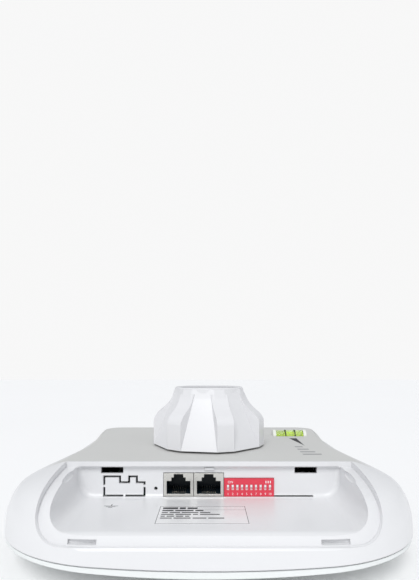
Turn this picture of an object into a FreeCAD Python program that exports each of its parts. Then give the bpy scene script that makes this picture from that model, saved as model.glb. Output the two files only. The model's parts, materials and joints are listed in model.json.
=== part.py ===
"""Outdoor wireless bridge, lying on its radome with the mount collar up.

Millimetres. +Z points out of the back plate, -Y is the cable end, and the origin is on the
face that the unit rests on, at the middle of its outline.
"""
import FreeCAD, Part
import math
import os

vec = FreeCAD.Vector
UP = vec(0, 0, 1)
DOWN = vec(0, 0, -1)
BACK = vec(0, 1, 0)

# housing outline and height
width = 212.0
corner_radius = 55.5
back_z = 48.0
wall = 2.5
side_shift = 1.6            # how far the inner skin stands in from the outer one
loft_degree = 3

# radome
face_radius = 540.0         # sphere of the front face
face_wall = 2.5
parting_radius = 716.0      # sphere on which radome and housing meet
parting_low_z = 5.25
rim_step = 0.7
foot_depth = 0.25           # how much the small flat at the middle of the face takes off the sphere

# connector bay
bay_half = 71.0
bay_wall_y = -51.5
bay_floor_z = 28.0
bay_corner = 8.7
bay_fillet = 3.0
lip_y = -54.3
lip_thick = 2.7
recess_half = 77.0
recess_low_z = 23.1
recess_corner = 12.0
bay_skin = 2.2
strip_slot_right_x = 56.8
strip_slot_height = 1.0
hook_slot_x = 52.9
hook_slot_half = 6.1
hook_slot_drops = (7.0, 3.45)
latch_slot_x = 54.0
latch_slot_half = 6.2
latch_slot_zs = (23.6, 25.6)
knock_out_line = 1.1

# mount collar, its thread and the ball seat (the ball belongs to the pole bracket)
collar_gap = 1.2
collar_height = 36.8
rib_width = 10.6
rib_count = 7
mouth_radius = 20.3
ball_z = back_z + 14.0
seat_radius = 21.2
cup_radius = 23.4
spigot_top_z = ball_z - 3.4
sleeve_radius = 24.0
thread_depth = 1.1
thread_pitch = 4.0
thread_play = 0.3
thread_low_z = 51.2
insert_radius = 28.0
spigot_radius = 27.3
spigot_play = 0.2
flange_radius = 38.0
flange_thick = 3.0
screw_circle_radius = 33.5

# connectors and switches
jack_width = 16.2
jack_height = 13.0
jack_depth = 21.3
jack_gap = 0.3
jack_right_x = -0.1
shield_thick = 0.35
contact_pitch = 1.02
contact_count = 8
dip_left_x = 8.3
dip_length = 27.1
dip_low_z = 28.5
dip_height = 9.8
dip_pitch = 2.54
dip_count = 10
dip_proud = 0.8
dip_slot_height = 3.2
slider_travel = 1.6
slider_play = 0.05
reset_x = -29.0
reset_z = back_z - 15.3

# boards
board_top_z = 28.1
board_thick = 1.6
board_half = 72.0
board_front_y = bay_wall_y + bay_skin + 0.4
board_far_y = 66.0
reflector_z = 20.0
reflector_half = 78.0
reflector_thick = 1.2
antenna_z = 15.0
antenna_half = 72.0
patch_rows = 4
patch_pitch = 34.0
patch_size = 17.0
boss_places = [(-66, -42), (66, -42), (-66, 60), (66, 60)]
post_places = [(-76, -30), (76, -30), (-76, 40), (76, 40)]

# level vial beside the collar
vial_x = 59.9
vial_y = 34.0
vial_length = 24.6
vial_radius = 4.3
vial_centre_z = back_z - 0.6
vial_wall = 1.0
vial_cap_length = 2.2
vial_recess = 1.9


def box(x0, x1, y0, y1, z0, z1):
    return Part.makeBox(x1 - x0, y1 - y0, z1 - z0, vec(x0, y0, z0))


def cylinder(radius, height, place, direction=UP):
    return Part.makeCylinder(radius, height, place, direction)


def tube(outer, inner, height, place, direction=UP):
    return cylinder(outer, height, place, direction).cut(cylinder(inner, height, place, direction))


def fused(shapes):
    return shapes[0].multiFuse(shapes[1:]) if len(shapes) > 1 else shapes[0]


def corner_arc(cx, cy, radius, middle_deg):
    angles = [math.radians(middle_deg + turn) for turn in (-45, 0, 45)]
    points = [vec(cx + radius * math.cos(a), cy + radius * math.sin(a), 0) for a in angles]
    return Part.Arc(*points).toShape()


def rounded_wire(x0, x1, y0, y1, radii, z=0.0):
    """Rounded rectangle, its corner radii starting at low x and y and going round."""
    corners = [(x0, y0, 1, 1, 225), (x1, y0, -1, 1, 315), (x1, y1, -1, -1, 45), (x0, y1, 1, -1, 135)]
    arcs = []
    for (x, y, sx, sy, middle), radius in zip(corners, radii):
        arcs.append(corner_arc(x + sx * radius, y + sy * radius, radius, middle))
    edges = []
    for index, arc in enumerate(arcs):
        following = arcs[(index + 1) % 4]
        edges.append(arc)
        edges.append(Part.makeLine(arc.Vertexes[-1].Point, following.Vertexes[0].Point))
    wire = Part.Wire(edges)
    wire.translate(vec(0, 0, z))
    return wire


def rounded_prism(x0, x1, y0, y1, radius, z0, z1):
    face = Part.Face(rounded_wire(x0, x1, y0, y1, [radius] * 4, z0))
    return face.extrude(vec(0, 0, z1 - z0))


def revolved(points):
    """Solid of revolution about Z from (radius, z) points."""
    wire = Part.makePolygon([vec(r, 0, z) for r, z in points + points[:1]])
    return Part.Face(wire).revolve(vec(0, 0, 0), UP, 360)


def swung_edge(start, end, waist):
    """Edge that leaves and arrives along one axis. A long side may draw in by a waist between its ends."""
    run = end - start
    lead = vec(run.x / 5, 0, 0)
    inward = vec(0, 0, 0)
    if abs(run.y) > abs(run.x):
        lead = vec(0, run.y / 5, 0)
        inward = vec(waist if start.x < 0 else -waist, 0, 0)
    curve = Part.BezierCurve()
    curve.setPoles([start, start + lead, start + lead * 2 + inward, end - lead * 2 + inward, end - lead, end])
    return curve.toShape()


def body_section(z, end, far, side, near, waist=0.0):
    """One level of the housing from its insets.

    They are those of the far end, the sides at the far end, the sides at the bay and the cable end.
    """
    half = width / 2
    far_radius = corner_radius - 2 * far
    near_radius = corner_radius - (side + near) / 2
    far_x = half - far - far_radius
    far_y = half - end - far_radius
    near_x = half - side - near_radius
    near_y = -half + near + near_radius
    arcs = [corner_arc(-near_x, near_y, near_radius, 225), corner_arc(near_x, near_y, near_radius, 315),
            corner_arc(far_x, far_y, far_radius, 45), corner_arc(-far_x, far_y, far_radius, 135)]
    edges = []
    for index, arc in enumerate(arcs):
        following = arcs[(index + 1) % 4]
        edges.append(arc)
        edges.append(swung_edge(arc.Vertexes[-1].Point, following.Vertexes[0].Point, waist))
    wire = Part.Wire(edges)
    wire.translate(vec(0, 0, z))
    return wire


def body_loft(down=0.0, inward=0.0):
    """The housing's outer form, or a skin inside it: drop below the back plate, four insets and a waist."""
    levels = [
        (0.0, 31.5, 22.0, 26.5, 46.0, 8.0),
        (0.8, 30.4, 21.2, 24.8, 31.0, 7.0),
        (2.4, 28.5, 20.2, 20.8, 20.5, 6.2),
        (5.7, 23.0, 17.8, 12.6, 11.4, 5.6),
        (8.2, 18.0, 14.4, 7.8, 8.4, 5.4),
        (11.0, 12.0, 10.0, 4.8, 6.3, 3.6),
        (14.8, 6.5, 5.4, 2.6, 4.3, 1.2),
        (20.0, 2.0, 1.8, 0.9, 2.1, 0.2),
        (26.0, 0.3, 0.3, 0.3, 0.6, 0.0),
        (33.0, 0.0, 0.0, 0.0, 0.0, 0.0),
        (42.0, 0.0, 0.0, 0.0, 0.0, 0.0),
    ]
    wires = []
    for drop, end, far, side, near, waist in levels:
        insets = [inset + inward for inset in (end, far, side, near)]
        wires.append(body_section(back_z - drop - down, *insets, waist))
    return Part.makeLoft(wires, True, False, False, loft_degree)


def ball(radius, low_z):
    return Part.makeSphere(radius, vec(0, 0, low_z + radius))


def front_radome():
    half = width / 2 - rim_step
    outline = rounded_prism(-half, half, -half, half, corner_radius - rim_step, -1, 30)
    shell = outline.common(ball(face_radius, -foot_depth)).cut(ball(parting_radius, parting_low_z))
    inner_half = half - 5.0
    pocket = rounded_prism(-inner_half, inner_half, -inner_half, inner_half, corner_radius - 5.7, -1, 30)
    shell = shell.cut(pocket.common(ball(face_radius - face_wall, face_wall)))
    shell = shell.cut(box(-20, 20, -20, 20, -1, 0))
    tongue_half = half - 2.2
    tongue = rounded_prism(-tongue_half, tongue_half, -tongue_half, tongue_half, corner_radius - 2.9, 8, 20)
    inside = tongue_half - 1.3
    tongue = tongue.cut(rounded_prism(-inside, inside, -inside, inside, corner_radius - 4.2, 7, 21))
    tongue = tongue.common(ball(parting_radius, parting_low_z - 0.4))
    return shell.fuse(tongue.cut(ball(parting_radius, parting_low_z + 2.4)))


def housing_gasket():
    """Seal that lies in the housing's groove, on top of the radome's tongue."""
    half = width / 2 - rim_step - 2.2
    ring = rounded_prism(-half, half, -half, half, corner_radius - 2.9, 8, 24)
    inside = half - 1.3
    ring = ring.cut(rounded_prism(-inside, inside, -inside, inside, corner_radius - 4.2, 7, 25))
    ring = ring.common(ball(parting_radius, parting_low_z + 2.4))
    return ring.cut(ball(parting_radius, parting_low_z + 4.0))


def bay_cutter():
    """The connector bay: a channel open at the top and the front."""
    face = rounded_wire(-bay_half, bay_half, bay_floor_z, back_z - lip_thick,
                        [bay_corner, bay_corner, 2.0, 2.0])
    face.rotate(vec(0, 0, 0), vec(1, 0, 0), 90)
    channel = Part.Face(face).extrude(vec(0, -80, 0))
    channel.translate(vec(0, bay_wall_y, 0))
    back_edges = [e for e in channel.Edges if abs(e.CenterOfMass.y - bay_wall_y) < 0.01
                  and e.CenterOfMass.z < back_z - lip_thick - 3]
    channel = channel.makeFillet(bay_fillet - 0.4, back_edges)
    return channel.fuse(box(-bay_half, bay_half, -130, lip_y, bay_floor_z + 14, back_z + 5))


def cover_recess():
    """The ledge round the bay that its cover drops on to."""
    outline = rounded_wire(-recess_half, recess_half, recess_low_z, back_z + 20, [recess_corner] * 4)
    outline.rotate(vec(0, 0, 0), vec(1, 0, 0), 90)
    prism = Part.Face(outline).extrude(vec(0, -80, 0))
    prism.translate(vec(0, lip_y, 0))
    return prism.cut(body_loft(lip_thick, 1.2))


def bay_mouth():
    """Bell mouth that rounds the front edge of the bay's floor and its lower corners."""
    levels = [(-99.0, 0.0), (-101.4, 0.6), (-103.0, 1.7), (-104.1, 3.3), (-104.7, 4.9), (-110.0, 5.2)]
    wires = []
    for y, flare in levels:
        half = bay_half + flare
        radii = [bay_corner, bay_corner, 2.0, 2.0]
        wire = rounded_wire(-half, half, bay_floor_z - flare, back_z + 20, radii)
        wire.rotate(vec(0, 0, 0), vec(1, 0, 0), 90)
        wire.translate(vec(0, y, 0))
        wires.append(wire)
    return Part.makeLoft(wires, True, False, False, loft_degree)


def shadow_gap():
    """Narrow step all round the housing's foot, so that its joint with the radome shows as a line."""
    half = width / 2 + 1
    ring = rounded_prism(-half, half, -half, half, corner_radius + 1, 5, 30)
    inside = width / 2 - 1.4
    ring = ring.cut(rounded_prism(-inside, inside, -inside, inside, corner_radius - 1.4, 4, 31))
    return ring.common(ball(parting_radius, parting_low_z)).cut(ball(parting_radius, parting_low_z + 0.7))


def knock_out_cuts():
    """Thin slots that outline the cable knock-out, broken by its bridges."""
    top, step, bottom = back_z - 8.8, back_z - 12.0, back_z - 19.2
    left, notch_0, notch_1, step_x, right = -57.2, -48.6, -43.6, -39.4, -35.2
    bridge_top, bridge_low = back_z - 12.9, back_z - 15.1
    runs = [
        (left, bridge_top, left, top), (left, top, notch_0, top), (notch_0, step, notch_0, top),
        (notch_0, step, notch_1, step), (notch_1, step, notch_1, top), (notch_1, top, step_x, top),
        (step_x, step, step_x, top), (step_x, step, right, step), (right, bridge_top, right, step),
        (right, bottom, right, bridge_low), (left, bottom, left, bridge_low),
        (left, bottom, -47.2, bottom), (-45.0, bottom, right, bottom),
    ]
    half = knock_out_line / 2
    return [box(x0 - half, x1 + half, bay_wall_y - 1, bay_wall_y + bay_skin + 1, z0 - half, z1 + half)
            for x0, z0, x1, z1 in runs]


def bay_openings():
    """Holes through the bay's back wall and its floor's front edge."""
    y0, y1 = bay_wall_y - 1, bay_wall_y + bay_skin + 1
    jacks_left = jack_right_x - jack_width * 1.5 - jack_gap
    jacks_right = jack_right_x + jack_width / 2
    cuts = [
        box(jacks_left - 0.2, jacks_right + 0.2, y0, y1, board_top_z, board_top_z + jack_height + 0.3),
        box(dip_left_x - 0.1, dip_left_x + dip_length + 0.15, y0, y1,
            dip_low_z - 0.2, dip_low_z + dip_height + 0.2),
        box(dip_left_x + dip_length, strip_slot_right_x, y0, y1,
            board_top_z, board_top_z + strip_slot_height),
        cylinder(0.95, 5, vec(reset_x, y0, reset_z), BACK),
    ]
    for side in (-1, 1):
        hook_x = side * hook_slot_x
        cuts.append(box(hook_x - hook_slot_half, hook_x + hook_slot_half, y0, y1,
                        back_z - hook_slot_drops[0], back_z - hook_slot_drops[1]))
        latch_x = side * latch_slot_x
        cuts.append(box(latch_x - latch_slot_half, latch_x + latch_slot_half, -112, -100.6, *latch_slot_zs))
    return cuts + knock_out_cuts()


def detent_bumps():
    """Small catches for the cover, near the top edge of the bay's side walls."""
    bumps = []
    for side in (-1, 1):
        bump = Part.makeSphere(2.6, vec(0, 0, 0))
        stretch = FreeCAD.Matrix()
        stretch.scale(0.5, 3.2, 0.8)
        bump = bump.transformGeometry(stretch)
        bump.translate(vec(side * bay_half, -69.0, back_z - 4.6))
        bumps.append(bump)
    return bumps


def rear_housing():
    outer = body_loft()
    cavity = body_loft(wall, side_shift)
    half = bay_half + 8
    bay_block = box(-half, half, -130, bay_wall_y + bay_skin, bay_floor_z - bay_skin, back_z + 5)
    sill_block = box(-66, 66, -130, -97, 21.5, bay_floor_z)
    plate_hole = spigot_radius + spigot_play
    pad = tube(flange_radius + 2, plate_hole, 4, vec(0, 0, back_z - wall - 2))
    post_low = reflector_z + reflector_thick
    post_high = back_z - wall + 1
    bosses = [tube(3.2, 1.25, post_high - board_top_z, vec(x, y, board_top_z)) for x, y in boss_places]
    posts = [tube(3.2, 1.25, post_high - post_low, vec(x, y, post_low)) for x, y in post_places]
    cavity = cavity.cut(bay_block).cut(sill_block).cut(fused([pad] + bosses + posts))
    shell = outer.cut(cavity)
    shell = shell.cut(bay_cutter()).cut(cover_recess()).cut(bay_mouth())
    for cut in bay_openings():
        shell = shell.cut(cut)
    shell = shell.cut(cylinder(plate_hole, 20, vec(0, 0, back_z - 15)))
    for x, y in socket_screw_places():
        shell = shell.cut(cylinder(1.5, 3.5, vec(x, y, back_z - wall - 2)))
    shell = shell.cut(box(-vial_length / 2 + vial_x, vial_length / 2 + vial_x, vial_y - vial_radius - 0.6,
                          vial_y + vial_radius + 0.6, back_z - vial_recess, back_z + 1))
    shell = shell.common(ball(parting_radius, parting_low_z)).cut(shadow_gap())
    groove_half = width / 2 - rim_step - 2.2
    groove = rounded_prism(-groove_half, groove_half, -groove_half, groove_half, corner_radius - 2.9, 5, 30)
    inside = groove_half - 1.3
    groove = groove.cut(rounded_prism(-inside, inside, -inside, inside, corner_radius - 4.2, 4, 31))
    shell = shell.cut(groove.cut(ball(parting_radius, parting_low_z + 4.0)))
    for bump in detent_bumps():
        shell = shell.fuse(bump)
    return shell.fuse(box(-2.3, 2.8, bay_wall_y - 1.2, bay_wall_y + 1, back_z - 5.1, back_z - 3.7))


def helical_thread(root_radius, crest_radius, z0, turns, half_root, half_crest):
    """A helical ridge from root to crest radius, starting at z0."""
    height = thread_pitch * turns
    helix = Part.makeHelix(thread_pitch, height, root_radius)
    profile = Part.makePolygon([vec(root_radius, 0, -half_root), vec(crest_radius, 0, -half_crest),
                                vec(crest_radius, 0, half_crest), vec(root_radius, 0, half_root),
                                vec(root_radius, 0, -half_root)])
    ridge = Part.Wire(helix.Edges).makePipeShell([profile], True, True)
    ridge.translate(vec(0, 0, z0))
    return ridge


def socket_screw_places():
    angles = [math.radians(45 + 90 * quarter) for quarter in range(4)]
    return [(screw_circle_radius * math.cos(a), screw_circle_radius * math.sin(a)) for a in angles]


def ball_socket():
    """Spigot with the lower half of the ball's seat, flanged to the plate from inside."""
    low = ball_z - seat_radius - 3.0
    flange_top = back_z - wall - 2
    flange_low = flange_top - flange_thick
    form = revolved([(0, low), (14, low), (22, low + 7), (27, flange_low), (flange_radius, flange_low),
                     (flange_radius, flange_top), (spigot_radius, flange_top), (spigot_radius, back_z),
                     (cup_radius, back_z),
                     (cup_radius, spigot_top_z - 4.4), (cup_radius - 1.5, spigot_top_z), (0, spigot_top_z)])
    form = form.cut(Part.makeSphere(seat_radius, vec(0, 0, ball_z)))
    for x, y in socket_screw_places():
        form = form.cut(cylinder(1.6, 10, vec(x, y, flange_top - 5)))
    jack_back_y = bay_wall_y + jack_depth
    return form.cut(box(-40, 40, -40, jack_back_y + 0.7, low, flange_top))


def threaded_sleeve():
    """Ring on the spigot with the male thread."""
    crest = sleeve_radius + thread_depth
    ridge = helical_thread(sleeve_radius - 0.3, crest, thread_low_z, 1.25, 1.5, 0.6)
    low = back_z + 0.3
    sleeve = tube(sleeve_radius, cup_radius, spigot_top_z - 0.8 - low, vec(0, 0, low))
    return sleeve.fuse(ridge).cut(cylinder(cup_radius, 30, vec(0, 0, back_z)))


def collar_insert():
    """Ring in the collar with the female thread, half a pitch out of step with the male one."""
    crest = sleeve_radius + thread_play
    root = sleeve_radius + thread_depth + thread_play
    ridge = helical_thread(root + 0.4, crest, thread_low_z + thread_pitch / 2, 1.75, 1.4, 0.6)
    low = back_z + collar_gap + 0.8
    return tube(insert_radius, root, 12.2, vec(0, 0, low)).fuse(ridge)


def fourteen_corners(radius, z):
    """Seven wide facets of the grip with a narrow one between each two."""
    corners = []
    for lobe in range(rib_count):
        for offset in (7.7, 24.2):
            angle = math.radians(-90 + offset + lobe * 360 / rib_count)
            corners.append(vec(radius * math.cos(angle), radius * math.sin(angle), z))
    return Part.makePolygon(corners + corners[:1])


def collar_rib(z0):
    """One rib of the grip: upright at its foot, then a hollow sweep up to the neck."""
    sweep = [(36.3, 15.3), (35.4, 18.0), (33.4, 20.5), (30.3, 23.0), (27.2, 26.0), (24.9, 29.3),
             (23.3, 33.0)]
    curve = Part.BSplineCurve()
    curve.interpolate([vec(r, 0, z0 + z) for r, z in sweep])
    straight = [(23.3, 33.0), (20, 33.0), (20, 0), (36.3, 0), (36.3, 15.3)]
    corners = [vec(r, 0, z0 + z) for r, z in straight]
    edges = [curve.toShape()] + [Part.makeLine(a, b) for a, b in zip(corners, corners[1:])]
    rib = Part.Face(Part.Wire(edges)).extrude(vec(0, rib_width, 0))
    rib.translate(vec(0, -rib_width / 2, 0))
    return rib


def lock_collar():
    z0 = back_z + collar_gap
    top = z0 + collar_height
    levels = [(36.6, z0), (24.4, z0 + 31.0), (22.9, top - 0.8)]
    core = Part.makeLoft([fourteen_corners(radius, z) for radius, z in levels], True, True)
    neck = revolved([(0, z0 + 30.0), (22.9, z0 + 30.0), (22.3, top - 0.6), (21.8, top), (0, top)])
    grip = core.fuse(neck)
    for index in range(rib_count):
        rib = collar_rib(z0)
        rib.rotate(vec(0, 0, 0), UP, -90 + 15.95 + index * 360 / rib_count)
        grip = grip.fuse(rib)
    shoulder = ball_z + 9.0
    hollow = revolved([(0, z0 - 1), (insert_radius + 0.5, z0 - 1), (insert_radius + 0.5, z0 + 0.8),
                       (insert_radius, z0 + 0.8), (insert_radius, z0 + 13.0), (24.6, z0 + 16.6),
                       (24.6, shoulder - 3.0), (21.4, shoulder), (mouth_radius, shoulder),
                       (mouth_radius, top - 0.6), (mouth_radius + 0.6, top), (mouth_radius + 0.6, top + 1),
                       (0, top + 1)])
    return grip.cut(hollow)


def clamp_ring():
    low = ball_z + 1.8
    high = ball_z + 7.8
    ring = revolved([(18, low), (24.0, low), (24.0, high - 2.6), (21.3, high), (18, high)])
    ring = ring.cut(Part.makeSphere(seat_radius, vec(0, 0, ball_z)))
    ring = ring.cut(cylinder(mouth_radius + 0.4, 20, vec(0, 0, low - 1)))
    for index in range(6):
        slot = box(18, 30, -0.6, 0.6, low - 1, low + 3)
        slot.rotate(vec(0, 0, 0), UP, 60 * index)
        ring = ring.cut(slot)
    return ring


def socket_screws():
    flange_low = back_z - wall - 2 - flange_thick
    screws = []
    for x, y in socket_screw_places():
        shank = cylinder(1.45, 6.3, vec(x, y, flange_low))
        head = cylinder(2.9, 1.8, vec(x, y, flange_low), DOWN)
        screws.append(shank.fuse(head))
    return Part.makeCompound(screws)


def vial_tube():
    """Clear barrel lying in the plate, hollow for its fluid."""
    start = vec(vial_x - vial_length / 2 + vial_cap_length, vial_y, vial_centre_z)
    along = vec(1, 0, 0)
    length = vial_length - 2 * vial_cap_length
    barrel = tube(vial_radius, vial_radius - vial_wall, length, start, along)
    return barrel.common(box(0, 120, 0, 80, back_z - vial_recess, back_z + 10))


def vial_fluid():
    start = vec(vial_x - vial_length / 2 + vial_cap_length, vial_y, vial_centre_z)
    length = vial_length - 2 * vial_cap_length
    fluid = cylinder(vial_radius - vial_wall, length, start, vec(1, 0, 0))
    fluid = fluid.common(box(0, 120, 0, 80, back_z - vial_recess, back_z + 10))
    bubble = Part.makeSphere(1.6, vec(0, 0, 0))
    stretch = FreeCAD.Matrix()
    stretch.scale(1.9, 1.0, 0.6)
    bubble = bubble.transformGeometry(stretch)
    bubble.translate(vec(vial_x + 0.6, vial_y, vial_centre_z + vial_radius - 2.1))
    return fluid.cut(bubble)


def vial_end_caps():
    caps = []
    for start in (vial_x - vial_length / 2, vial_x + vial_length / 2 - vial_cap_length):
        cap = cylinder(vial_radius + 0.4, vial_cap_length, vec(start, vial_y, vial_centre_z), vec(1, 0, 0))
        caps.append(cap.common(box(0, 120, 0, 80, back_z - vial_recess, back_z + 10)))
    return Part.makeCompound(caps)


def vial_rings():
    rings = []
    for offset in (-3.0, 3.9):
        start = vec(vial_x + offset - 0.4, vial_y, vial_centre_z)
        ring = tube(vial_radius + 0.3, vial_radius, 0.8, start, vec(1, 0, 0))
        rings.append(ring.common(box(0, 120, 0, 80, back_z - vial_recess, back_z + 10)))
    return Part.makeCompound(rings)


def rating_label():
    return box(-25.0, 18.7, -91.5, -66.5, bay_floor_z, bay_floor_z + 0.08)


def jack_outline(centre_x):
    """The stepped mouth of the jack, with its latch keyway at the top."""
    low = board_top_z + 1.7
    half = [(6.5, low), (6.5, low + 7.1), (3.9, low + 7.1), (3.9, low + 9.0), (2.6, low + 9.0),
            (2.6, low + 10.8)]
    right = [vec(centre_x + x, 0, z) for x, z in half]
    left = [vec(centre_x - x, 0, z) for x, z in reversed(half)]
    points = right + left
    return Part.Face(Part.makePolygon(points + points[:1]))


def jack_shield(centre_x):
    half = jack_width / 2
    front = bay_wall_y - 0.3
    outer = box(centre_x - half, centre_x + half, front, front + jack_depth,
                board_top_z, board_top_z + jack_height)
    inner = box(centre_x - half + shield_thick, centre_x + half - shield_thick, front + shield_thick,
                front + jack_depth + 1, board_top_z - 1, board_top_z + jack_height - shield_thick)
    mouth = jack_outline(centre_x).extrude(vec(0, 5, 0))
    mouth.translate(vec(0, front - 1, 0))
    return outer.cut(inner).cut(mouth)


def jack_insert(centre_x):
    half = jack_width / 2 - shield_thick
    front = bay_wall_y - 0.3 + shield_thick
    block = box(centre_x - half, centre_x + half, front, front + jack_depth - 1, board_top_z,
                board_top_z + jack_height - shield_thick)
    mouth = jack_outline(centre_x).extrude(vec(0, 14.2, 0))
    mouth.translate(vec(0, front - 0.01, 0))
    return block.cut(mouth)


def jack_contacts(centre_x):
    """Eight spring wires that rise from the mouth's floor towards the back."""
    low = board_top_z + 1.7
    wires = []
    for index in range(contact_count):
        x = centre_x + (index - (contact_count - 1) / 2) * contact_pitch
        start = vec(x - 0.18, bay_wall_y + 2.2, low)
        side = [start, start + vec(0, 0.5, 0), start + vec(0, 9.5, 0.8), start + vec(0, 9.5, 1.2),
                start + vec(0, 0, 0.45)]
        wires.append(Part.Face(Part.makePolygon(side + side[:1])).extrude(vec(0.36, 0, 0)))
    return Part.makeCompound(wires)


def dip_slider_x(index):
    return dip_left_x + dip_length / 2 + (index - (dip_count - 1) / 2) * dip_pitch


def dip_slot_top():
    return dip_low_z + (dip_height + dip_slot_height) / 2


def dip_body():
    front = bay_wall_y - dip_proud
    body = box(dip_left_x, dip_left_x + dip_length, front, front + 6.0, dip_low_z, dip_low_z + dip_height)
    for index in range(dip_count):
        x = dip_slider_x(index)
        body = body.cut(box(x - 0.7, x + 0.7, front - 1, front + 1.2, dip_slot_top() - dip_slot_height,
                            dip_slot_top()))
    return body


def dip_slider(index):
    """One rocker nub, stored at the top of its slot."""
    x = dip_slider_x(index)
    front = bay_wall_y - dip_proud
    high = dip_slot_top() - slider_play
    low = high - (dip_slot_height - slider_travel - 2 * slider_play)
    nub = box(x - 0.62, x + 0.62, front + 0.1, front + 1.15, low, high)
    return nub.makeChamfer(0.15, [e for e in nub.Edges if e.CenterOfMass.y < front + 0.2])


def dip_pins():
    back = bay_wall_y - dip_proud + 6.0
    pins = []
    for index in range(dip_count):
        x = dip_slider_x(index)
        for rise in (1.6, 8.0):
            pins.append(box(x - 0.25, x + 0.25, back, back + 2.2, dip_low_z + rise, dip_low_z + rise + 0.25))
    return Part.makeCompound(pins)


def reset_switch():
    y = bay_wall_y + bay_skin + 2.6
    case = box(reset_x - 3, reset_x + 3, y, y + 3.5, board_top_z, reset_z + 3)
    return case.cut(cylinder(1.1, 1.0, vec(reset_x, y, reset_z), BACK))


def reset_plunger():
    y = bay_wall_y + bay_skin + 1.4
    return cylinder(1.0, 1.7, vec(reset_x, y, reset_z), BACK)


def main_board():
    board = box(-board_half, board_half, board_front_y, board_far_y, board_top_z - board_thick, board_top_z)
    for x, y in boss_places:
        board = board.cut(cylinder(1.6, 4, vec(x, y, board_top_z - 3)))
    return board


def rf_shield_can():
    can = box(-62, -14, 8, 48, board_top_z, board_top_z + 3.2)
    return can.cut(box(-61.7, -14.3, 8.3, 47.7, board_top_z - 1, board_top_z + 2.9))


def processor():
    return box(2, 19, -14, 3, board_top_z, board_top_z + 1.4)


def heat_spreader():
    base = box(0, 21, -16, 5, board_top_z + 1.4, board_top_z + 3.0)
    fins = []
    for index in range(6):
        y = -16 + index * 4.0
        fins.append(box(0, 21, y, y + 1.2, board_top_z + 3.0, board_top_z + 8.0))
    return fused([base] + fins)


def memory_chips():
    return Part.makeCompound([box(28, 40, y, y + 8, board_top_z, board_top_z + 1.1) for y in (-14, -3)])


def lan_transformers():
    return Part.makeCompound([box(x, x + 13, -26, -17, board_top_z, board_top_z + 5.5) for x in (-24, -8)])


def capacitors():
    places = [(46, -30, 4.0), (56, -30, 4.0), (46, 10, 3.2), (54, 10, 3.2), (46, 19, 3.2)]
    return Part.makeCompound([cylinder(r, r * 2.3, vec(x, y, board_top_z)) for x, y, r in places])


def power_inductor():
    block = rounded_prism(50, 62, -16, -4, 2.5, board_top_z, board_top_z + 5)
    return block.cut(tube(6.5, 4.2, 2, vec(56, -10, board_top_z + 4.2)))


def status_leds():
    places = range(-10, 14, 5)
    return Part.makeCompound([box(x, x + 1.6, 56, 56.8, board_top_z, board_top_z + 0.6) for x in places])


def antenna_sockets():
    low = board_top_z - board_thick - 2.2
    return Part.makeCompound([cylinder(1.5, 2.2, vec(x, 20, low)) for x in (-30, 30)])


def feed_cable(x):
    """Coaxial lead from its socket under the board to the antenna board."""
    high = board_top_z - board_thick - 1.3
    low = antenna_z + board_thick
    turn = 5.5
    y = 46
    bend = turn * math.sin(math.pi / 4)
    bend_start = vec(x, y - turn, high)
    bend_middle = vec(x, y - turn + bend, high - turn + bend)
    bend_end = vec(x, y, high - turn)
    path = Part.Wire([
        Part.makeLine(vec(x, 21.5, high), bend_start),
        Part.Arc(bend_start, bend_middle, bend_end).toShape(),
        Part.makeLine(bend_end, vec(x, y, low)),
    ])
    ring = Part.Wire(Part.makeCircle(0.6, vec(x, 21.5, high), BACK))
    return path.makePipeShell([ring], True, True)


def reflector_plate():
    half = reflector_half
    plate = rounded_prism(-half, half, -half, half, 8, reflector_z, reflector_z + reflector_thick)
    for x, y in post_places:
        plate = plate.cut(cylinder(1.6, 5, vec(x, y, reflector_z - 2)))
    for x in (-30, 30):
        plate = plate.cut(cylinder(1.5, 5, vec(x, 46, reflector_z - 2)))
    for x, y in spacer_places():
        plate = plate.cut(cylinder(1.6, 5, vec(x, y, reflector_z - 2)))
    return plate


def spacer_places():
    return [(x, y) for x in (-64, 0, 64) for y in (-64, 0, 64) if (x, y) != (0, 0)]


def antenna_board():
    half = antenna_half
    board = rounded_prism(-half, half, -half, half, 3, antenna_z, antenna_z + board_thick)
    for x, y in spacer_places():
        board = board.cut(cylinder(1.6, 5, vec(x, y, antenna_z - 2)))
    return board


def antenna_spacers():
    spacers = []
    for x, y in spacer_places():
        barrel = cylinder(3.0, reflector_z - antenna_z - board_thick, vec(x, y, antenna_z + board_thick))
        stem = cylinder(1.5, reflector_z + 3.0 - antenna_z, vec(x, y, antenna_z - 0.9))
        head = Part.makeCone(2.4, 1.2, 0.9, vec(x, y, antenna_z), DOWN)
        spacers.append(fused([barrel, stem, head]))
    return Part.makeCompound(spacers)


def patch_elements():
    half = patch_size / 2
    first = -(patch_rows - 1) / 2 * patch_pitch
    patches = []
    for row in range(patch_rows):
        for column in range(patch_rows):
            x = first + column * patch_pitch
            y = first + row * patch_pitch
            patches.append(box(x - half, x + half, y - half, y + half, antenna_z - 0.1, antenna_z))
    return Part.makeCompound(patches)


def board_screws():
    screws = []
    under = board_top_z - board_thick
    for x, y in boss_places:
        screws.append(cylinder(1.2, 9, vec(x, y, under)).fuse(cylinder(2.6, 1.6, vec(x, y, under), DOWN)))
    return Part.makeCompound(screws)


def reflector_screws():
    screws = []
    for x, y in post_places:
        shank = cylinder(1.2, 8, vec(x, y, reflector_z))
        screws.append(shank.fuse(cylinder(2.6, 1.6, vec(x, y, reflector_z), DOWN)))
    return Part.makeCompound(screws)


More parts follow.
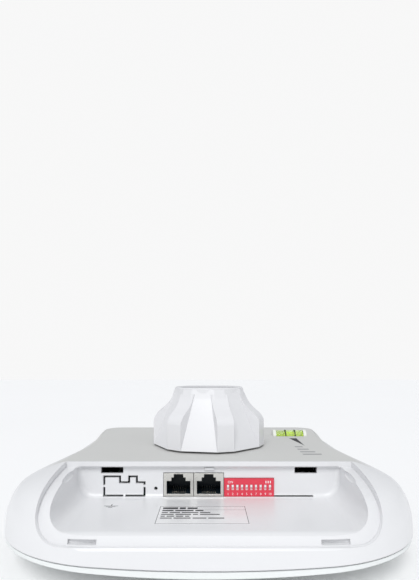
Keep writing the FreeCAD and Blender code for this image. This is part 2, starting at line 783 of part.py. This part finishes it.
def all_parts():
    parts = {
        "front_radome": front_radome(), "housing_gasket": housing_gasket(), "rear_housing": rear_housing(),
        "ball_socket": ball_socket(), "threaded_sleeve": threaded_sleeve(),
        "socket_screws": socket_screws(), "lock_collar": lock_collar(), "collar_insert": collar_insert(),
        "clamp_ring": clamp_ring(), "vial_tube": vial_tube(), "vial_fluid": vial_fluid(),
        "vial_end_caps": vial_end_caps(), "vial_rings": vial_rings(), "rating_label": rating_label(),
        "dip_body": dip_body(), "dip_pins": dip_pins(), "reset_switch": reset_switch(),
        "reset_plunger": reset_plunger(), "main_board": main_board(), "rf_shield_can": rf_shield_can(),
        "processor": processor(), "heat_spreader": heat_spreader(), "memory_chips": memory_chips(),
        "lan_transformers": lan_transformers(), "capacitors": capacitors(),
        "power_inductor": power_inductor(), "status_leds": status_leds(),
        "antenna_sockets": antenna_sockets(), "reflector_plate": reflector_plate(),
        "antenna_board": antenna_board(), "antenna_spacers": antenna_spacers(),
        "patch_elements": patch_elements(), "board_screws": board_screws(),
        "reflector_screws": reflector_screws(),
    }
    jack_places = (jack_right_x - jack_width - jack_gap, jack_right_x)
    for number, x in enumerate(jack_places, 1):
        parts[f"jack_shield_{number}"] = jack_shield(x)
        parts[f"jack_insert_{number}"] = jack_insert(x)
        parts[f"jack_contacts_{number}"] = jack_contacts(x)
    for number, x in enumerate((-30, 30), 1):
        parts[f"feed_cable_{number}"] = feed_cable(x)
    for index in range(dip_count):
        parts[f"dip_slider_{index + 1:02d}"] = dip_slider(index)
    return parts


os.makedirs("parts", exist_ok=True)
for name, shape in all_parts().items():
    shape.exportStep(f"parts/{name}.step")
    print(name, shape.isValid(), len(shape.Solids), round(shape.Volume, 1))
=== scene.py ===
import json
import math
import bmesh
import bpy
from mathutils import Matrix, Vector

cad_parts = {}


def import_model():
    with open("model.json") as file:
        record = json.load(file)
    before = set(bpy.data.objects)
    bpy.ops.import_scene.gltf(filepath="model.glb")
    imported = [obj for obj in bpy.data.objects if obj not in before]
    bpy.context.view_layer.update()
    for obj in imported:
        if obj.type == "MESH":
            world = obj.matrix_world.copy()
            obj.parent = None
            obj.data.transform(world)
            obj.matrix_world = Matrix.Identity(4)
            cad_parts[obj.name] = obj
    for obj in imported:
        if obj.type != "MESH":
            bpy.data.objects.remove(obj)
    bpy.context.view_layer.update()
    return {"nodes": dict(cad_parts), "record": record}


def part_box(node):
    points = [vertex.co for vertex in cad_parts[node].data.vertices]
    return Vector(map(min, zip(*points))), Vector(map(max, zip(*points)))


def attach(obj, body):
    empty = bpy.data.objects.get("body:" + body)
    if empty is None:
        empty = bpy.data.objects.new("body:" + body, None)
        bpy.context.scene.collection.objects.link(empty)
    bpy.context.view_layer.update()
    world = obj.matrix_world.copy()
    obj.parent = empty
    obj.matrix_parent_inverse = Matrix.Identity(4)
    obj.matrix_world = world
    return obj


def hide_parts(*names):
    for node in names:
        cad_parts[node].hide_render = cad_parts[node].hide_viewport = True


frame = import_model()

nodes = frame["nodes"]
mm = 0.001
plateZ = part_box("rear_housing")[1].z
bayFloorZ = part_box("rating_label")[0].z
dipLow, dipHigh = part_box("dip_body")
print("frame loaded:", len(nodes), "CAD nodes")


# a shader socket that can stand in a sum
class Socket:
    def __init__(self, maker, out):
        self.maker = maker
        self.out = out

    def math(self, operation, other, swapped=False):
        pair = (other, self) if swapped else (self, other)
        return self.maker.node("ShaderNodeMath", {"operation": operation}, {0: pair[0], 1: pair[1]})

    def __add__(self, other): return self.math("ADD", other)
    def __radd__(self, other): return self.math("ADD", other, True)
    def __sub__(self, other): return self.math("SUBTRACT", other)
    def __rsub__(self, other): return self.math("SUBTRACT", other, True)
    def __mul__(self, other): return self.math("MULTIPLY", other)
    def __gt__(self, other): return self.math("GREATER_THAN", other)


class Maker:
    def __init__(self, name):
        self.material = bpy.data.materials.new(name)
        self.material.use_nodes = True
        self.tree = self.material.node_tree
        self.tree.nodes.clear()

    def node(self, kind, settings=None, inputs=None, output=0):
        made = self.tree.nodes.new(kind)
        for key, value in (settings or {}).items():
            setattr(made, key, value)
        for key, value in (inputs or {}).items():
            if isinstance(value, Socket):
                self.tree.links.new(value.out, made.inputs[key])
            else:
                made.inputs[key].default_value = value
        return Socket(self, made.outputs[output]) if made.outputs else None

    def mix(self, factor, first, second):
        return self.node("ShaderNodeMix", {"data_type": "RGBA"}, {0: factor, 6: first, 7: second}, 2)

    def place(self):
        return self.node("ShaderNodeTexCoord", output="Object")

    def ramp(self, value, low, high):
        limits = {"Value": value, "From Min": low, "From Max": high}
        return self.node("ShaderNodeMapRange", {"interpolation_type": "SMOOTHSTEP"}, limits)

    def axes(self, kind="Object"):
        split = self.node("ShaderNodeSeparateXYZ", {}, {0: self.node("ShaderNodeTexCoord", output=kind)})
        outs = split.out.node.outputs
        return [Socket(self, out) for out in outs]

    def noise(self, scale, detail=2.0, roughness=0.5, vector=None):
        inputs = {"Vector": vector or self.place(), "Scale": scale, "Detail": detail, "Roughness": roughness}
        return self.node("ShaderNodeTexNoise", {}, inputs)

    def stretched(self, scale):
        return self.node("ShaderNodeMapping", {}, {"Vector": self.place(), "Scale": scale})

    def bump(self, height, distance, strength=1.0, normal=None):
        inputs = {"Height": height, "Distance": distance, "Strength": strength}
        if normal:
            inputs["Normal"] = normal
        return self.node("ShaderNodeBump", {}, inputs)

    def softEdge(self, radius):
        return self.node("ShaderNodeBevel", {"samples": 4}, {"Radius": radius})

    def finish(self, inputs):
        shader = self.node("ShaderNodeBsdfPrincipled", {}, inputs)
        self.node("ShaderNodeOutputMaterial", {}, {"Surface": shader})
        return self.material


def rgba(color, gain=1.0):
    return tuple(min(1.0, part * gain) for part in color) + (1.0,)


# moulded plastic: faint blotches in tone, a fine spark-eroded grain and long soft sink marks
def plastic(name, color, rough=0.4, grain=0.02, edge=0.3, tone=0.03, coat=0.0):
    make = Maker(name)
    blotch = make.noise(28, 3, 0.55)
    fine = make.noise(2600, 2, 0.6)
    sink = make.noise(9, 1, 0.4)
    base = make.mix(blotch, rgba(color, 1 - tone), rgba(color, 1 + tone))
    normal = make.softEdge(edge * mm)
    normal = make.bump(sink, 0.12 * mm, 0.25, normal)
    normal = make.bump(fine, grain * mm, 0.6, normal)
    return make.finish({"Base Color": base, "Roughness": rough + (blotch - 0.5) * 0.12 + (fine - 0.5) * 0.08,
                        "Normal": normal, "Coat Weight": coat, "Coat Roughness": 0.12})


# drawn or plated sheet: fine lines one way, dulled patches and specks
def sheetMetal(name, color, rough=0.3, lines=(40, 900, 900)):
    make = Maker(name)
    drawn = make.noise(1.0, 3, 0.6, make.stretched(lines))
    dull = make.noise(160, 3, 0.6)
    base = make.mix(dull, rgba(color, 0.86), rgba(color, 1.08))
    normal = make.bump(drawn, 0.01 * mm, 0.5, make.softEdge(0.15 * mm))
    return make.finish({"Base Color": base, "Roughness": rough + (dull - 0.5) * 0.2 + (drawn - 0.5) * 0.1,
                        "Metallic": 1.0, "Normal": normal})


# clear or tinted mouldings and liquids; a liquid may get a painted glow, an emission though it is no lamp
def clear(name, color, rough, transmission, tone, paintedGlow=0.0):
    make = Maker(name)
    swirl = make.noise(220, 2, 0.5)
    base = make.mix(swirl, rgba(color, 1 - tone), rgba(color, 1 + tone))
    inputs = {"Base Color": base, "Roughness": rough + (swirl - 0.5) * 0.05, "IOR": 1.46,
              "Transmission Weight": transmission, "Normal": make.bump(swirl, 0.01 * mm, 0.3)}
    # painted light: the liquid's colour is also emitted, a painted glow standing in for light passing
    # through it
    if paintedGlow:
        inputs["Emission Color"] = base
        inputs["Emission Strength"] = paintedGlow
    return make.finish(inputs)


# board with solder mask over its weave, its tracks showing as slight ridges
def circuitBoard(name, mask, track, weave=900):
    make = Maker(name)
    lines = make.node("ShaderNodeTexBrick", {"offset": 0.35}, {
        "Vector": make.place(), "Scale": 1.0, "Mortar Size": 0.25 * mm, "Brick Width": 5.2 * mm,
        "Row Height": 1.9 * mm, "Color1": (0, 0, 0, 1), "Color2": (0, 0, 0, 1), "Mortar": (1, 1, 1, 1)})
    patch = make.noise(90, 1) > 0.47
    tracks = patch * lines
    cloth = make.noise(weave, 1)
    base = make.mix(tracks, rgba(mask), rgba(track))
    base = make.mix(cloth * 0.25, base, rgba(mask, 1.5))
    normal = make.bump(tracks * 0.8 + cloth * 0.2, 0.04 * mm, 0.6)
    return make.finish({"Base Color": base, "Roughness": 0.32 + cloth * 0.15, "Normal": normal})


print("materials: helpers ready")
shell = {"white": (0.765, 0.768, 0.78), "plate": (0.60, 0.60, 0.585), "rough": 0.34, "plateRough": 0.62,
         "fade": 6.0, "lipY": -54.3}


# one moulding in two finishes: gloss outside, and a spark-eroded back plate
def housingPlastic():
    make = Maker("housing plastic")
    x, y, z = make.axes()
    upright = make.axes("Normal")[2]
    blotch = make.noise(24, 3, 0.55)
    fine = make.noise(2400, 2, 0.6)
    coarse = make.noise(1100, 1, 0.5)
    sink = make.noise(8, 1, 0.4)
    dust = make.noise(420, 4, 0.7) > 0.66
    onPlate = (make.ramp(z, plateZ - shell["fade"] * mm, plateZ - 0.3 * mm) * make.ramp(upright, 0.1, 0.6)
               * make.ramp(y, shell["lipY"] * mm, (shell["lipY"] + 2) * mm))
    white = make.mix(blotch, rgba(shell["white"], 0.975), rgba(shell["white"], 1.02))
    gray = make.mix(blotch, rgba(shell["plate"], 0.97), rgba(shell["plate"], 1.03))
    base = make.mix(onPlate, white, gray)
    base = make.mix(dust * 0.05, base, rgba((0.55, 0.54, 0.52)))
    rough = shell["rough"] + onPlate * (shell["plateRough"] - shell["rough"]) + (blotch - 0.5) * 0.1
    normal = make.softEdge(0.55 * mm)
    normal = make.bump(sink, 0.15 * mm, 0.25, normal)
    normal = make.bump(fine * 0.4 + coarse * onPlate, 0.03 * mm, 0.6, normal)
    return make.finish({"Base Color": base, "Roughness": rough, "Normal": normal,
                        "Coat Weight": (1 - onPlate) * 0.25, "Coat Roughness": 0.2})


# red moulding whose slots have pale floors
def switchPlastic():
    make = Maker("switch body")
    y = make.axes()[1]
    blotch = make.noise(90, 3, 0.55)
    red = make.mix(blotch, rgba((0.70, 0.04, 0.075)), rgba((0.76, 0.05, 0.085)))
    base = make.mix(y > dipLow.y + 1.1 * mm, red, rgba((0.95, 0.86, 0.88)))
    normal = make.bump(make.noise(2600, 2, 0.6), 0.02 * mm, 0.6, make.softEdge(0.12 * mm))
    return make.finish({"Base Color": base, "Roughness": 0.36 + (blotch - 0.5) * 0.1, "Normal": normal})


finish = {
    "radome_white": plastic("radome plastic", (0.80, 0.825, 0.82), 0.5, 0.035, 0.4, 0.02),
    "shell_white": housingPlastic(),
    "collar_white": plastic("collar plastic", (0.74, 0.74, 0.755), 0.36, 0.02, 0.3, 0.02, 0.15),
    "socket_grey": plastic("socket nylon", (0.66, 0.67, 0.69), 0.55, 0.05, 0.3, 0.05),
    "seal_rubber": plastic("seal rubber", (0.03, 0.03, 0.03), 0.8, 0.05, 0.1, 0.15),
    "screw_steel": sheetMetal("zinc screw", (0.62, 0.62, 0.6), 0.35),
    "vial_clear": clear("vial wall", (0.93, 0.96, 0.9), 0.06, 0.95, 0.02),
    # the fluid carries a painted glow: emission makes it look lit from within, though it is no lamp
    "vial_fluid": clear("vial fluid", (0.62, 0.80, 0.06), 0.12, 0.35, 0.12, 0.35),
    "vial_cap": plastic("vial end cap", (0.78, 0.80, 0.74), 0.4, 0.02, 0.2, 0.05),
    "ring_black": plastic("vial ring", (0.02, 0.025, 0.01), 0.5, 0.01, 0.05, 0.1),
    "label_film": plastic("label film", (0.80, 0.80, 0.81), 0.28, 0.01, 0.02, 0.02, 0.3),
    "switch_red": switchPlastic(),
    "slider_white": plastic("switch slider", (0.88, 0.85, 0.86), 0.35, 0.01, 0.12, 0.03),
    "pin_tin": sheetMetal("tinned sheet", (0.70, 0.70, 0.68), 0.38),
    "insert_black": plastic("jack insert", (0.005, 0.014, 0.024), 0.5, 0.03, 0.1, 0.3),
    "board_green": circuitBoard("main board mask", (0.012, 0.10, 0.04), (0.03, 0.19, 0.07)),
    "chip_black": plastic("chip epoxy", (0.025, 0.025, 0.028), 0.5, 0.06, 0.1, 0.25),
    "plate_aluminium": sheetMetal("aluminium", (0.77, 0.78, 0.79), 0.34),
    "led_clear": clear("led epoxy", (0.85, 0.90, 0.80), 0.2, 0.6, 0.05),
    "contact_gold": sheetMetal("gold contact", (0.66, 0.61, 0.49), 0.28),
    "antenna_laminate": circuitBoard("antenna laminate", (0.62, 0.58, 0.42), (0.70, 0.67, 0.50), 500),
    "nylon_white": plastic("nylon", (0.82, 0.82, 0.77), 0.5, 0.02, 0.2, 0.04),
    "patch_copper": sheetMetal("copper patch", (0.78, 0.42, 0.25), 0.36),
    "shield_nickel": sheetMetal("nickel shield", (0.74, 0.73, 0.69), 0.3, (900, 900, 60)),
    "cable_jacket": plastic("cable jacket", (0.03, 0.03, 0.03), 0.45, 0.03, 0.05, 0.2),
}
slotOf = {row["node"]: row["material_slot"] for row in frame["record"]["subparts"]}
for name, target in nodes.items():
    target.data.materials.clear()
    target.data.materials.append(finish[slotOf[name]])
print("materials: every node has its finish")


weld = {"gap": 0.004, "sliver": 0.002, "crease": 28.0, "collarCrease": 9.0, "weight": 60}


# mouldings whose curves need smooth shading: a merged copy stands for the CAD node
def smoothCopy(node, piece, body, angle=weld["crease"]):
    mesh = nodes[node].data.copy()
    mesh.name = piece
    work = bmesh.new()
    work.from_mesh(mesh)
    bmesh.ops.remove_doubles(work, verts=work.verts, dist=weld["gap"] * mm)
    bmesh.ops.dissolve_degenerate(work, dist=weld["sliver"] * mm, edges=work.edges)
    for face in work.faces:
        face.smooth = True
    for edge in work.edges:
        edge.smooth = len(edge.link_faces) == 2 and edge.calc_face_angle(0.0) < math.radians(angle)
    work.to_mesh(mesh)
    work.free()
    for name in ("custom_normal", "sharp_face"):
        if name in mesh.attributes:
            mesh.attributes.remove(mesh.attributes[name])
    made = bpy.data.objects.new(piece, mesh)
    bpy.context.scene.collection.objects.link(made)
    evener = made.modifiers.new("even normals", "WEIGHTED_NORMAL")
    evener.keep_sharp = True
    evener.weight = weld["weight"]
    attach(made, body)
    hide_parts(node)


smoothCopy("rear_housing", "housingShell", "housing")
smoothCopy("front_radome", "radomeDome", "housing")
smoothCopy("lock_collar", "mountCollar", "collar", weld["collarCrease"])
smoothCopy("ball_socket", "ballCup", "housing")
smoothCopy("clamp_ring", "clampRing", "clamp_ring")
print("mouldings: smooth copies ready")


# printed marks: thin flat solids on a face
printInk = {"dark": plastic("dark ink", (0.02, 0.02, 0.024), 0.6, 0.01, 0.01, 0.1),
            "pale": plastic("pale ink", (0.30, 0.30, 0.31), 0.6, 0.01, 0.01, 0.1),
            "white": plastic("white ink", (0.93, 0.86, 0.87), 0.5, 0.01, 0.01, 0.04)}


def joinedPiece(name, work, material):
    bmesh.ops.recalc_face_normals(work, faces=work.faces)
    mesh = bpy.data.meshes.new(name)
    work.to_mesh(mesh)
    work.free()
    made = bpy.data.objects.new(name, mesh)
    bpy.context.scene.collection.objects.link(made)
    toMaterial(made, material)
    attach(made, "housing")


def toMaterial(made, material):
    made.data.materials.clear()
    made.data.materials.append(material)


def addBlock(work, x0, x1, y0, y1, z0, z1):
    size = Vector((x1 - x0, y1 - y0, z1 - z0))
    middle = Vector((x0 + x1, y0 + y1, z0 + z1)) / 2
    bmesh.ops.create_cube(work, size=1.0, matrix=Matrix.Translation(middle) @ Matrix.Diagonal((*size, 1)))


def addPrism(work, outline, low, thick):
    # a flat outline raised into a thin solid
    verts = [work.verts.new((x, y, low)) for x, y in outline]
    face = work.faces.new(verts)
    raised = bmesh.ops.extrude_face_region(work, geom=[face])
    tops = [item for item in raised["geom"] if isinstance(item, bmesh.types.BMVert)]
    bmesh.ops.translate(work, verts=tops, vec=(0, 0, thick))


label = {"x0": -25.0, "x1": 18.7, "y0": -91.3, "y1": -66.7, "film": 0.08, "ink": 0.02, "inset": 0.4,
         "frame": 0.22, "rule": 0.15, "ruleX": 19, "ruleDrop": 5.6, "margin": 2.0, "space": 0.9}
labelLow = bayFloorZ + label["film"] * mm
labelHigh = labelLow + label["ink"] * mm
# each line: how far down, how tall, and the lengths of its words
labelLines = [(2.0, 2.4, (7.5, 3.0, 5.0)), (5.8, 1.6, (5.5, 9.0, 4.0)), (8.9, 1.1, (3.0, 5.0, 8.0, 5.0)),
              (11.4, 1.1, (6.0, 7.5, 2.5, 9.5)), (13.9, 1.1, (2.0, 3.5, 3.5, 2.0)),
              (16.4, 1.1, (5.5, 8.0, 6.5, 7.5))]


def ratingFrame():
    work = bmesh.new()
    x0, x1, y0, y1 = [label[key] * mm for key in ("x0", "x1", "y0", "y1")]
    line = label["frame"] * mm
    inset = label["inset"] * mm
    ruleY = y1 - label["ruleDrop"] * mm
    spans = [
        (x0 + inset, x1 - inset, y0 + inset, y0 + inset + line),
        (x0 + inset, x1 - inset, y1 - inset - line, y1 - inset),
        (x0 + inset, x0 + inset + line, y0 + inset, y1 - inset),
        (x1 - inset - line, x1 - inset, y0 + inset, y1 - inset),
        (x0 + label["ruleX"] * mm, x1 - inset, ruleY, ruleY + label["rule"] * mm),
    ]
    for span in spans:
        addBlock(work, *span, labelLow, labelHigh)
    joinedPiece("ratingFrame", work, printInk["dark"])


# plain bars where a rating label has its lines: long words and short ones
def ratingBars():
    work = bmesh.new()
    for down, tall, words in labelLines:
        x = (label["x0"] + label["margin"]) * mm
        y = (label["y1"] - down) * mm
        for word in words:
            addBlock(work, x, x + word * mm, y - tall * mm, y, labelLow, labelHigh)
            x += (word + label["space"]) * mm
    joinedPiece("ratingBars", work, printInk["dark"])


earth = {"x": -50.0, "y": -66.0, "stem": 2.4, "stemHalf": 0.2, "halves": (3.6, 2.4, 1.1),
         "pitch": 1.2, "drop": 0.4, "bar": 0.45, "low": 0.002, "ink": 0.02}


# earthing sign: three bars that get shorter under a stem
def earthSign():
    work = bmesh.new()
    z0 = bayFloorZ + earth["low"] * mm
    z1 = z0 + earth["ink"] * mm
    x, y = earth["x"] * mm, earth["y"] * mm
    stemHalf = earth["stemHalf"] * mm
    addBlock(work, x - stemHalf, x + stemHalf, y, y + earth["stem"] * mm, z0, z1)
    for index, half in enumerate(earth["halves"]):
        low = y - (earth["drop"] + index * earth["pitch"]) * mm
        addBlock(work, x - half * mm, x + half * mm, low, low + earth["bar"] * mm, z0, z1)
    joinedPiece("earthSign", work, printInk["dark"])


plateMarks = {"dartBase": (57.4, 62.6, 20.0), "dartTip": (62.2, -7.5), "barX": 55.0,
              "bars": ((-12, 5), (-20, 7), (-28, 9), (-35, 11)), "barHalf": 1.3, "low": 0.01, "ink": 0.02}


def plateDart():
    work = bmesh.new()
    x0, x1, y1 = plateMarks["dartBase"]
    tipX, tipY = plateMarks["dartTip"]
    outline = [(x0 * mm, y1 * mm), (tipX * mm, tipY * mm), (x1 * mm, y1 * mm)]
    addPrism(work, outline, plateZ + plateMarks["low"] * mm, plateMarks["ink"] * mm)
    joinedPiece("plateDart", work, printInk["dark"])


def plateBars():
    work = bmesh.new()
    z0 = plateZ + plateMarks["low"] * mm
    x = plateMarks["barX"] * mm
    half = plateMarks["barHalf"]
    for y, long in plateMarks["bars"]:
        addBlock(work, x, x + long * mm, (y - half) * mm, (y + half) * mm, z0, z0 + plateMarks["ink"] * mm)
    joinedPiece("plateBars", work, printInk["pale"])


ratingFrame()
ratingBars()
earthSign()
plateDart()
plateBars()
print("prints: label, earthing sign and plate marks")

# the switch's own numbers, raised white ink on its red face
switchInk = {"number": 1.3, "word": 1.35, "pitch": 2.54, "rise": 0.03, "numberDrop": 8.95, "wordDrop": 2.5,
             "wordX": 3.4, "bars": (-4.6, -3.4, -2.2), "bar": 0.5, "barDrop": 1.2, "fontGain": 1.35}


def inkWord(work, text, size, x, z):
    curve = bpy.data.curves.new("word", "FONT")
    curve.body = text
    curve.size = size * mm * switchInk["fontGain"]
    curve.align_x = "CENTER"
    curve.extrude = switchInk["rise"] * mm / 2
    curve.resolution_u = 3
    holder = bpy.data.objects.new("word", curve)
    bpy.context.scene.collection.objects.link(holder)
    mesh = bpy.data.meshes.new_from_object(holder)
    bpy.data.objects.remove(holder)
    bpy.data.curves.remove(curve)
    place = Matrix.Translation((x, dipLow.y - switchInk["rise"] * mm / 2, z))
    mesh.transform(place @ Matrix.Rotation(math.pi / 2, 4, "X"))
    work.from_mesh(mesh)
    bpy.data.meshes.remove(mesh)


def switchNumbers():
    work = bmesh.new()
    middle = (dipLow.x + dipHigh.x) / 2
    for index in range(10):
        x = middle + (index - 4.5) * switchInk["pitch"] * mm
        inkWord(work, str(index + 1), switchInk["number"], x, dipHigh.z - switchInk["numberDrop"] * mm)
    wordX = dipLow.x + switchInk["wordX"] * mm
    inkWord(work, "ON", switchInk["word"], wordX, dipHigh.z - switchInk["wordDrop"] * mm)
    for offset in switchInk["bars"]:
        x = dipHigh.x + offset * mm
        addBlock(work, x, x + switchInk["bar"] * mm, dipLow.y - switchInk["rise"] * mm, dipLow.y,
                 dipHigh.z - switchInk["wordDrop"] * mm, dipHigh.z - switchInk["barDrop"] * mm)
    joinedPiece("switchNumbers", work, printInk["white"])


switchNumbers()
print("switch: numbers and word")

# floor, light and camera
room = {"floor": 3.0, "tone": (0.97, 0.97, 0.97), "fill": 0.66, "backdrop": 0.935,
        "sun": 1.6, "sunWidth": 30, "sunPlace": (-0.1, -0.7, 0.7)}


def paleFloor():
    work = bmesh.new()
    bmesh.ops.create_grid(work, x_segments=8, y_segments=8, size=room["floor"])
    mesh = bpy.data.meshes.new("paleFloor")
    work.to_mesh(mesh)
    work.free()
    made = bpy.data.objects.new("paleFloor", mesh)
    bpy.context.scene.collection.objects.link(made)
    make = Maker("floor paint")
    tone = make.mix(make.noise(3, 2), rgba(room["tone"], 0.99), rgba(room["tone"], 1.01))
    toMaterial(made, make.finish({"Base Color": tone, "Roughness": 0.6, "Specular IOR Level": 0.2}))


def softSun():
    # one broad light from above and behind the camera
    lamp = bpy.data.lights.new("softSun", "SUN")
    lamp.energy = room["sun"]
    lamp.angle = math.radians(room["sunWidth"])
    made = bpy.data.objects.new("softSun", lamp)
    made.rotation_euler = Vector(room["sunPlace"]).to_track_quat("Z", "Y").to_euler()
    bpy.context.scene.collection.objects.link(made)


def world():
    # a white backdrop, and a weaker fill light from it
    made = bpy.data.worlds.new("studio")
    made.use_nodes = True
    tree = made.node_tree
    tree.nodes.clear()
    fill = tree.nodes.new("ShaderNodeBackground")
    fill.inputs["Color"].default_value = (0.95, 0.97, 1.0, 1.0)
    fill.inputs["Strength"].default_value = room["fill"]
    backdrop = tree.nodes.new("ShaderNodeBackground")
    backdrop.inputs["Strength"].default_value = room["backdrop"]
    backdrop.inputs["Color"].default_value = (1, 1, 1, 1)
    rays = tree.nodes.new("ShaderNodeLightPath")
    chosen = tree.nodes.new("ShaderNodeMixShader")
    out = tree.nodes.new("ShaderNodeOutputWorld")
    tree.links.new(rays.outputs["Is Camera Ray"], chosen.inputs[0])
    tree.links.new(fill.outputs[0], chosen.inputs[1])
    tree.links.new(backdrop.outputs[0], chosen.inputs[2])
    tree.links.new(chosen.outputs[0], out.inputs["Surface"])
    bpy.context.scene.world = made


view = {"lens": 26.07, "shiftX": 0.0010, "shiftY": 0.133, "away": 0.281, "above": 0.051, "near": 0.01}


def camera():
    lens = bpy.data.cameras.new("camera")
    lens.lens = view["lens"]
    lens.shift_x = view["shiftX"]
    lens.shift_y = view["shiftY"]
    lens.clip_start = view["near"]
    made = bpy.data.objects.new("camera", lens)
    made.location = (0.0, -view["away"], plateZ + view["above"])
    made.rotation_euler = (math.pi / 2, 0, 0)
    bpy.context.scene.collection.objects.link(made)
    bpy.context.scene.camera = made


paleFloor()
world()
softSun()
camera()
bpy.context.scene.view_settings.view_transform = "Standard"
print("stage: floor, light and camera")
